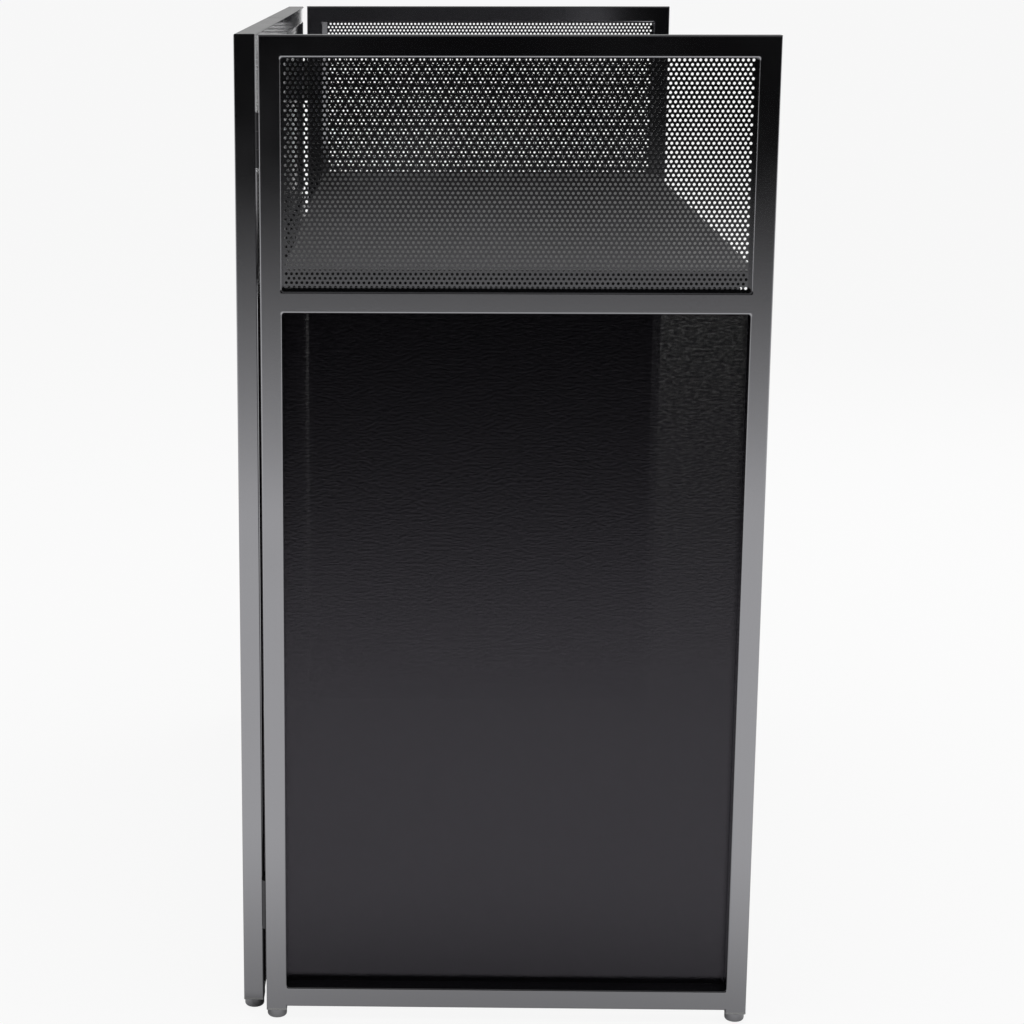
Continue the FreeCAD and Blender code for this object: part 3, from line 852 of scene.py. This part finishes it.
def drawn_steel(name, colour, paler):
    """Bright drawn bar: fine lines along its length in colour, gloss and bump."""
    finish, tree = new_finish(name, {"Metallic": 1.0})
    where = shader(tree, "ShaderNodeTexCoord").outputs["Object"]
    drawn = shader(tree, "ShaderNodeMapping", {"Vector": where, "Scale": DRAWN_SCALE}).outputs[0]
    lines = noise(tree, drawn, 1.0, 2.0)
    tone = two_tone(tree, lines, colour, paler)
    gloss = spread(tree, lines, (0.0, 1.0), DRAWN_GLOSS)
    return dressed(finish, tone, gloss, bumped(tree, lines, DRAWN_DEPTH, DRAWN_STRENGTH))


def dome(centre, axis, radius, rise):
    """A low dome with a short straight rim: r = radius cos a, h = rim + (rise - rim) sin a."""
    a = np.linspace(0, DOME_TURN, DOME_STEPS)
    radii = np.concatenate([[radius], radius * np.cos(a)])
    rim = rise * DOME_RIM
    heights = np.concatenate([[-rim], rim + (rise - rim) * np.sin(a)])
    ones = np.ones(DOME_COLUMNS)
    return turned(radii[:, None] * ones, heights[:, None] * ones, centre, axis)


hinge_coat = coated(
    "hinge_black",
    colour=(0.006, 0.006, 0.0064, 1),
    worn=(0.03, 0.03, 0.031, 1),
    rough=0.3,
    ior=1.6,
    peel_depth=0.0001,
    lacquer=0.2,
)
pin_steel = drawn_steel("drawn_pin_steel", (0.4, 0.4, 0.41, 1), (0.55, 0.55, 0.56, 1))
hinge_heights = [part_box("left_corner_hinge_wing_leaves")[k].z for k in (0, 1)]
hinge_levels = (hinge_heights[0] + HINGE_HALF, hinge_heights[1] - HINGE_HALF)
for node, (body, reach, outwards) in LEAVES.items():
    finish_node(node, hinge_coat)
    seam = node.split("_hinge_")[0]
    low, high = (np.array(c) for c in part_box(f"{seam}_hinge_pins"))
    axis_point = np.array([(low[0] + high[0]) / 2, (low[1] + high[1]) / 2, 0])
    spot = (
        axis_point
        + np.array(reach) * LEAF_MIDDLE
        + np.array(outwards) * (LEAF_THICKNESS - PIN_TO_FACE)
    )
    rivets = [
        dome(spot + UP * (level + k * RIVET_SPACING), outwards, RIVET_RADIUS, RIVET_RISE)
        for level in hinge_levels
        for k in (-1, 0, 1)
    ]
    name = node.replace("leaves", "rivets")
    new_piece(name, *joined(rivets), body, "hinge_steel", hinge_coat, DOME_SMOOTH)
for seam in ("left_corner", "right_corner", "centre"):
    finish_node(f"{seam}_hinge_pins", pin_steel)


# Table: a 19 mm board faced and edged in satin black laminate, with two coated steel angles screwed
# under its ends that lie over the middle rails. It lifts straight off.
BOARD_CORNER = 0.003
BOARD_TOP_EDGE = 0.002
BOARD_LOW_EDGE = 0.0008
BOARD_STEPS = 6
BOARD_SMOOTH = 30
LAMINATE_IOR = 1.7
LAMINATE_GLOSS = (0.36, 0.44)
LAMINATE_DEPTH = 0.0002
PEBBLE_SCALE = 450.0
SMUDGE_SCALE = 5.0
DUST_HAZE = 0.35
BEARER_THICKNESS = 0.003
SCREW_RADIUS = 0.004
SCREW_RISE = 0.0024
SCREW_FROM_END = 0.04
SCREW_COUNT = 4


def laminate(name, colour, paler):
    """Pressed laminate: a pebbled grain as bump, faint smudges in colour and gloss, and a haze of
    fine dust that shows at a low angle."""
    finish, tree = new_finish(name, {"IOR": LAMINATE_IOR, "Sheen Weight": DUST_HAZE})
    skin = powder_skin(tree, PEBBLE_SCALE, SMUDGE_SCALE)
    tone = two_tone(tree, skin["Patches"], colour, paler)
    gloss = spread(tree, skin["Patches"], NOISE_SPAN, LAMINATE_GLOSS)
    relief = bumped(tree, skin["Height"], LAMINATE_DEPTH, BUMP_STRENGTH)
    return dressed(finish, tone, gloss, relief)


# The board: rounded rectangles stacked up its height, drawn in by a quarter circle at both edges
low, high = (np.array(c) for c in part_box("table_board"))
middle, halves = (low + high) / 2, (high - low) / 2
arc = np.linspace(0, math.pi / 2, BOARD_STEPS)
insets = np.concatenate([BOARD_LOW_EDGE * (1 - np.sin(arc)), BOARD_TOP_EDGE * (1 - np.cos(arc))])
insets = np.concatenate([insets[:1] + FLAT_FROM, insets, insets[-1:] + FLAT_FROM])
rises = np.concatenate(
    [BOARD_LOW_EDGE * (1 - np.cos(arc)), 2 * halves[2] - BOARD_TOP_EDGE * (1 - np.sin(arc))]
)
rises = np.pad(rises, 1, mode="edge")
loops = np.stack(
    [
        rounded_rectangle(halves[0] - d, halves[1] - d, BOARD_CORNER - d, BOARD_STEPS)
        for d in insets
    ]
)
stations = np.array([middle[0], middle[1], low[2]]) + rises[:, None] * UP
board = new_piece(
    "table_board_faced",
    *carried(loops, stations, (1, 0, 0), (0, 1, 0)),
    "table",
    "table_laminate",
    laminate("satin_laminate", (0.044, 0.044, 0.0465, 1), (0.056, 0.056, 0.0595, 1)),
    BOARD_SMOOTH,
)
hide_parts("table_board")

for side in ("left", "right"):
    finish_node(f"table_{side}_bearer", frame_coat)
    low, high = (np.array(c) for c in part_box(f"table_{side}_bearer"))
    flange_low = high[2] - BEARER_THICKNESS
    x = (low[0] + high[0]) / 2
    ys = np.linspace(low[1] + SCREW_FROM_END, high[1] - SCREW_FROM_END, SCREW_COUNT)
    screws = [dome((x, y, flange_low), (0, 0, -1), SCREW_RADIUS, SCREW_RISE) for y in ys]
    name = f"table_{side}_screws"
    new_piece(name, *joined(screws), "table", "pin_steel", pin_steel, DOME_SMOOTH)


# Studio: a plain white floor that runs out to a white surround, with soft lights above and behind.
# In reflections the floor's glow is painted: it fades out towards a dark screen behind the camera,
# with painted shade near and under the object, and through the cloth it shows a painted shadow.
# The surround dims overhead in reflections, and the lights themselves do not show.
FLOOR_SPAN = 60.0
FLOOR_PAINT = (0.92, 0.92, 0.92, 1)
SHADOW_SHARE = 0.1
# Painted shadow round the object, seen through the cloth: its reach and its darkest tone
SHADOW_REACH = 4.0
SHADOW_TONE = 0.08
FADE_FROM = 0.5
FADE_START = 0.29
FADE_END = 0.084
# Painted shade in the floor's reflected glow: dimmer near the object, dark within its box
NEAR_REACH = (0.5, 1.35)
NEAR_SHADE_TONE = 0.45
SHADE_SPAN = (-0.04, 0.025)
SHADE_TONE = 0.06
SCREEN_X = 12.0
SCREEN_HALF = 25.0
SCREEN_TOP = 6.0
SCREEN_COLOUR = (0.01, 0.01, 0.01, 1)
SKY_HEIGHTS = (0.15, 0.5)
SKY_TONES = (0.32, 0.12)
SKY_LIGHT = 0.35
WHITE = (1.0, 1.0, 1.0, 1)


def flat_sheet(name, corners, finish):
    """A four-cornered stage surface."""
    mesh = bpy.data.meshes.new(name)
    mesh.from_pydata(corners, [], [(0, 1, 2, 3)])
    mesh.materials.append(finish)
    made = bpy.data.objects.new(name, mesh)
    bpy.context.scene.collection.objects.link(made)
    made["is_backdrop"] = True
    return made


def either(tree, share, one, other):
    """One value where the share is 0, the other where it is 1."""
    inputs = {0: share, 2: one, 3: other}
    return shader(tree, "ShaderNodeMix", inputs, data_type="FLOAT").outputs[0]


def white_floor():
    """White paint that shows white to the eye and keeps a share of the real shadow. Reflections see a
    painted glow that fades out towards the dark screen, in step with 1 / x from FADE_START to
    FADE_END, and painted shade dims it close to the object and darkens it within the object's box.
    Through the cloth it shows a painted soft shadow round the object, which falls off with the
    distance from the box."""
    finish = bpy.data.materials.new("white_floor")
    finish.use_nodes = True
    tree = finish.node_tree
    tree.nodes.clear()
    path = shader(tree, "ShaderNodeLightPath").outputs
    where = shader(tree, "ShaderNodeTexCoord").outputs["Object"]
    ahead = shader(tree, "ShaderNodeSeparateXYZ", {0: where}).outputs["X"]
    inverse = worked(tree, "DIVIDE", 1.0, worked(tree, "MAXIMUM", ahead, FADE_FROM))
    fade = spread(tree, inverse, (FADE_END, FADE_START), (0.0, 1.0))
    reach = shader(tree, "ShaderNodeVectorMath", {0: where}, operation="LENGTH").outputs["Value"]
    # Painted shade: the reflected glow dims close to the object
    near = spread(tree, reach, NEAR_REACH, (NEAR_SHADE_TONE, 1.0), interpolation_type="SMOOTHSTEP")
    beyond = shader(tree, "ShaderNodeVectorMath", {0: where}, operation="ABSOLUTE").outputs[0]
    beyond = shader(
        tree, "ShaderNodeVectorMath", {0: beyond, 1: cad_high}, operation="SUBTRACT"
    ).outputs[0]
    beyond = shader(tree, "ShaderNodeSeparateXYZ", {0: beyond}).outputs
    beyond = worked(tree, "MAXIMUM", beyond["X"], beyond["Y"])
    # Painted shade: the reflected glow turns dark within the object's box
    shade = spread(tree, beyond, SHADE_SPAN, (SHADE_TONE, 1.0), interpolation_type="SMOOTHSTEP")
    mirrored = worked(tree, "MULTIPLY", worked(tree, "MULTIPLY", fade, near), shade)
    # Painted shadow seen through the cloth, darkest at the box and fading with distance
    shadow = spread(tree, beyond, (0.0, SHADOW_REACH), (SHADOW_TONE, 1.0))
    veiled = worked(tree, "GREATER_THAN", path["Transparent Depth"], 0.5)
    strength = either(tree, veiled, 1.0, shadow)
    strength = either(tree, path["Is Glossy Ray"], strength, mirrored)
    paint = shader(tree, "ShaderNodeBsdfDiffuse", {"Color": FLOOR_PAINT}).outputs[0]
    glow = shader(tree, "ShaderNodeEmission", {"Color": WHITE, "Strength": strength}).outputs[0]
    seen = worked(tree, "MAXIMUM", path["Is Camera Ray"], path["Is Transmission Ray"])
    seen = worked(tree, "MULTIPLY", seen, 1 - SHADOW_SHARE)
    share = worked(tree, "MAXIMUM", seen, path["Is Glossy Ray"])
    mixed = shader(tree, "ShaderNodeMixShader", {0: share, 1: paint, 2: glow}).outputs[0]
    shader(tree, "ShaderNodeOutputMaterial", {0: mixed})
    return finish


flat_sheet(
    "studio_floor",
    [
        (-FLOOR_SPAN, -FLOOR_SPAN, 0),
        (FLOOR_SPAN, -FLOOR_SPAN, 0),
        (FLOOR_SPAN, FLOOR_SPAN, 0),
        (-FLOOR_SPAN, FLOOR_SPAN, 0),
    ],
    white_floor(),
)
screen = flat_sheet(
    "dark_screen",
    [
        (SCREEN_X, -SCREEN_HALF, 0),
        (SCREEN_X, SCREEN_HALF, 0),
        (SCREEN_X, SCREEN_HALF, SCREEN_TOP),
        (SCREEN_X, -SCREEN_HALF, SCREEN_TOP),
    ],
    new_finish("screen_black", {"Base Color": SCREEN_COLOUR, "Roughness": 1.0})[0],
)
screen.visible_camera = False

world = bpy.data.worlds.new("white_surround")
bpy.context.scene.world = world
world.use_nodes = True
sky = world.node_tree
sky.nodes.clear()
path = shader(sky, "ShaderNodeLightPath").outputs
seen = worked(sky, "MAXIMUM", path["Is Camera Ray"], path["Is Transmission Ray"])
towards = shader(sky, "ShaderNodeTexCoord").outputs["Generated"]
height = shader(sky, "ShaderNodeSeparateXYZ", {0: towards}).outputs["Z"]
mirrored = spread(sky, height, SKY_HEIGHTS, SKY_TONES)
strength = either(sky, path["Is Glossy Ray"], SKY_LIGHT, mirrored)
strength = either(sky, seen, strength, 1.0)
glow = shader(sky, "ShaderNodeBackground", {"Color": WHITE, "Strength": strength}).outputs[0]
shader(sky, "ShaderNodeOutputWorld", {0: glow})


def soft_light(name, place, target, sides, power):
    """A rectangular soft light that looks from its place at a target."""
    lamp = bpy.data.lights.new(name, "AREA")
    lamp.shape = "RECTANGLE"
    lamp.size, lamp.size_y = sides
    lamp.energy = power
    made = bpy.data.objects.new(name, lamp)
    made.location = place
    made.rotation_mode = "QUATERNION"
    made.rotation_quaternion = (Vector(target) - Vector(place)).to_track_quat("-Z", "Y")
    made.visible_camera = False
    made.visible_glossy = False
    bpy.context.scene.collection.objects.link(made)


soft_light(
    "overhead_light",
    place=(0.4, 0.0, 3.8),
    target=(0.4, 0.0, 0.0),
    sides=(4.0, 4.0),
    power=60.0,
)
soft_light(
    "rear_light",
    place=(-2.6, 2.2, 2.6),
    target=(0.0, 0.0, 0.8),
    sides=(2.0, 2.0),
    power=30.0,
)

# Camera: it stands off the right-hand end of the booth, a little above the table, and looks down by
# about 13 degrees. The picture is cropped sideways, which the lens shift follows.
SENSOR_WIDTH = 36.0
LENS = 86.10
LENS_SHIFT = 0.1492
CAMERA_PLACE = (3.4505, -0.0981, 1.2960)
CAMERA_LOOK = (-0.97378, -0.02239, -0.22638)
camera = bpy.data.cameras.new("camera")
camera.sensor_width = SENSOR_WIDTH
camera.lens = LENS
camera.shift_x = LENS_SHIFT
viewpoint = bpy.data.objects.new("camera", camera)
viewpoint.location = CAMERA_PLACE
viewpoint.rotation_mode = "QUATERNION"
viewpoint.rotation_quaternion = Vector(CAMERA_LOOK).to_track_quat("-Z", "Y")
bpy.context.scene.collection.objects.link(viewpoint)
bpy.context.scene.camera = viewpoint
bpy.context.scene.view_settings.view_transform = "Standard"

low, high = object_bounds()
